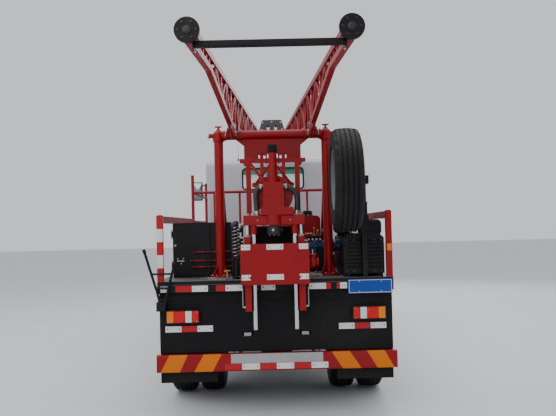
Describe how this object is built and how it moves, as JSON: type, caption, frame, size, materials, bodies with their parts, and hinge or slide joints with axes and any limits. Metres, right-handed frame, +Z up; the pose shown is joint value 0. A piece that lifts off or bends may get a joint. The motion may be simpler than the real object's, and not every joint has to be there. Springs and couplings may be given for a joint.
{
  "type": "truck-mounted drilling rig",
  "caption": "Two-axle truck carrying a drilling rig: lattice mast lying over the cab, rear portal with drill feed, deck engine, spare wheel and jacks.",
  "frame": {"origin": "on the ground, under the middle of the whole machine", "axes": "+Z up, +Y the driving direction, +X the right-hand side"},
  "size_m": [3.2, 9.9868, 3.8284],
  "materials": {
    "red_paint": "semi-gloss",
    "black_paint": "satin",
    "black_rubber": "matte",
    "dark_grey": "satin",
    "deck_grey": "worn",
    "cab_white": "gloss",
    "glass": "clear",
    "lamp_lens": "clear lens",
    "tyre": "matte",
    "rim_steel": "satin",
    "chrome": "polished",
    "blue_paint": "semi-gloss",
    "seat_cloth": "woven"
  },
  "bodies": {
    "root": {"auger": "deck_grey", "boarding_ladder": "black_paint", "cab_glass": "glass", "cab_shell": "cab_white", "cabinet": "black_paint", "chassis_frame": "black_paint", "corner_posts": "red_paint", "cover_plate": "red_paint", "dashboard": "dark_grey", "deck": "deck_grey", "deck_engine": "black_paint", "drill_rods": "deck_grey", "engine_block": "black_paint", "feed_frame": "red_paint", "front_axle": "black_paint", "front_bumper": "dark_grey", "guard_rails": "red_paint", "hydraulic_pump": "blue_paint", "hydraulic_tank": "red_paint", "lift_foot": "red_paint", "mast_rest": "red_paint", "mirrors": "dark_grey", "mudguards": "black_rubber", "portal": "red_paint", "rear_axle": "black_paint", "rear_bumper": "red_paint", "rear_panel": "black_rubber", "seats": "seat_cloth", "side_tanks": "black_paint", "spare_rim": "rim_steel", "spare_tyre": "tyre", "subframe": "black_paint", "tail_lamps": "lamp_lens"},
    "knuckle_left": {"knuckle_left": "black_paint"},
    "front_wheel_left": {"front_tyre_left": "tyre", "front_rim_left": "rim_steel"},
    "rear_wheels_left": {"rear_tyres_left": "tyre", "rear_rims_left": "rim_steel"},
    "cab_door_left": {"cab_door_left": "cab_white"},
    "jack_left": {"jack_leg_left": "red_paint"},
    "knuckle_right": {"knuckle_right": "black_paint"},
    "front_wheel_right": {"front_tyre_right": "tyre", "front_rim_right": "rim_steel"},
    "rear_wheels_right": {"rear_tyres_right": "tyre", "rear_rims_right": "rim_steel"},
    "cab_door_right": {"cab_door_right": "cab_white"},
    "jack_right": {"jack_leg_right": "red_paint"},
    "mast": {"mast_leg_left": "red_paint", "mast_leg_right": "red_paint", "mast_feet": "black_paint", "crown_block": "dark_grey", "lift_yoke": "red_paint"},
    "lift_barrel": {"lift_barrel": "black_paint"},
    "lift_rod": {"lift_rod": "chrome"},
    "feed_carriage": {"crosshead": "red_paint", "feed_rods": "chrome", "rotary_head": "red_paint", "head_hoses": "black_rubber"},
    "spindle": {"spindle": "chrome"},
    "cabinet_door": {"cabinet_door": "black_paint"}
  },
  "joints": [
    {"name": "steer_left", "type": "hinge", "parent": "root", "child": "knuckle_left", "pos_m": [-0.8, 3.63338, 0.51], "axis": [0, 0, 1], "range_deg": [-32, 32]},
    {"name": "steer_right", "type": "hinge", "parent": "root", "child": "knuckle_right", "pos_m": [0.8, 3.63338, 0.51], "axis": [0, 0, 1], "range_deg": [-32, 32]},
    {"name": "front_wheel_left_spin", "type": "hinge", "parent": "knuckle_left", "child": "front_wheel_left", "pos_m": [-0.985, 3.63338, 0.51], "axis": [1, 0, 0], "continuous": true},
    {"name": "front_wheel_right_spin", "type": "hinge", "parent": "knuckle_right", "child": "front_wheel_right", "pos_m": [0.985, 3.63338, 0.51], "axis": [1, 0, 0], "continuous": true},
    {"name": "rear_wheels_left_spin", "type": "hinge", "parent": "root", "child": "rear_wheels_left", "pos_m": [-0.9, -1.45662, 0.51], "axis": [1, 0, 0], "continuous": true},
    {"name": "rear_wheels_right_spin", "type": "hinge", "parent": "root", "child": "rear_wheels_right", "pos_m": [0.9, -1.45662, 0.51], "axis": [1, 0, 0], "continuous": true},
    {"name": "cab_door_left_hinge", "type": "hinge", "parent": "root", "child": "cab_door_left", "pos_m": [-1.204, 4.60038, 1.6], "axis": [0, 0, -1], "range_deg": [0, 72]},
    {"name": "cab_door_right_hinge", "type": "hinge", "parent": "root", "child": "cab_door_right", "pos_m": [1.204, 4.60038, 1.6], "axis": [0, 0, 1], "range_deg": [0, 72]},
    {"name": "mast_raise", "type": "hinge", "parent": "root", "child": "mast", "pos_m": [0, -2.32662, 2.82], "axis": [1, 0, 0], "range_deg": [0, 89]},
    {"name": "lift_barrel_pivot", "type": "hinge", "parent": "root", "child": "lift_barrel", "pos_m": [0, -1.97662, 1.57], "axis": [1, 0, 0], "range_deg": [0, 7.7]},
    {"name": "lift_rod_slide", "type": "slide", "parent": "lift_barrel", "child": "lift_rod", "axis": [0, 0.1029, 0.9947], "range_m": [0, 0.74]},
    {"name": "feed_slide", "type": "slide", "parent": "root", "child": "feed_carriage", "axis": [0, 0, 1], "range_m": [0, 0.45]},
    {"name": "spindle_turn", "type": "hinge", "parent": "feed_carriage", "child": "spindle", "pos_m": [0, -2.72662, 1.86], "axis": [0, 0, 1], "continuous": true},
    {"name": "cabinet_door_hinge", "type": "hinge", "parent": "root", "child": "cabinet_door", "pos_m": [-1.098, -2.07362, 1.6], "axis": [0, 0, -1], "range_deg": [0, 95]},
    {"name": "jack_left_slide", "type": "slide", "parent": "root", "child": "jack_left", "axis": [0, 0, -1], "range_m": [0, 0.465]},
    {"name": "jack_right_slide", "type": "slide", "parent": "root", "child": "jack_right", "axis": [0, 0, -1], "range_m": [0, 0.465]}
  ],
  "couplings": [
    {"joint": "steer_right", "follows": "steer_left", "ratio": 1},
    {"joint": "lift_barrel_pivot", "follows": "mast_raise", "ratio": 0.075},
    {"joint": "lift_rod_slide", "follows": "mast_raise", "m_per_rad": 0.47}
  ]
}
